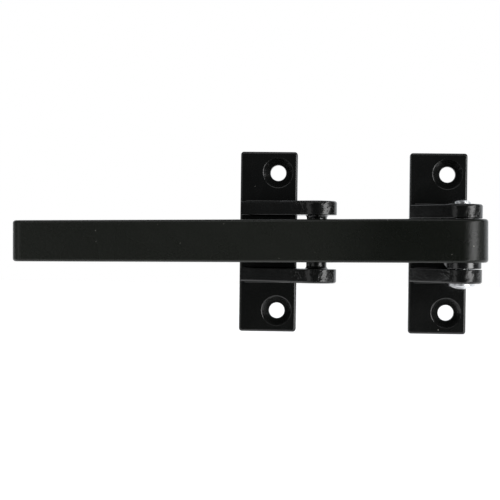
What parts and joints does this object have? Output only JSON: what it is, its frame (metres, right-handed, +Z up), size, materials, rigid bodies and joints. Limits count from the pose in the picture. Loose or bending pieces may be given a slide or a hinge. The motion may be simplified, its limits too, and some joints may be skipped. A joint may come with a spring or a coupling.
{
  "type": "door guard",
  "caption": "Swing-bar door guard: a U-shaped arm on a pivot bracket closes over the cross pin of a keeper bracket, so the door opens only a hand's width.",
  "frame": {"origin": "centre of the pivot bracket's two screw holes, on the bracket's back face", "axes": "+X from the arm's closed end towards its pivot, +Y into the wall, +Z up"},
  "size_m": [0.1549, 0.0224, 0.06],
  "materials": {
    "bracket_black": "semi-gloss black paint on a die casting",
    "arm_black": "matt black powder coat on steel strap",
    "bush_black": "gloss black moulded bush",
    "rivet_zinc": "bright zinc plate"
  },
  "bodies": {
    "pivot_side": {"pivot_bracket": "bracket_black", "hinge_rivet": "rivet_zinc"},
    "arm": {"swing_arm": "arm_black", "arm_bush": "bush_black"},
    "keeper_side": {"keeper_bracket": "bracket_black"}
  },
  "joints": [
    {"name": "arm_swing", "type": "hinge", "parent": "pivot_side", "child": "arm", "pos_m": [0.0042, -0.014, 0], "axis": [0, 0, 1], "range_deg": [0, 175]},
    {"name": "keeper_travel", "type": "slide", "parent": "pivot_side", "child": "keeper_side", "axis": [-1, 0, 0], "range_m": [0, 0.0915]}
  ]
}
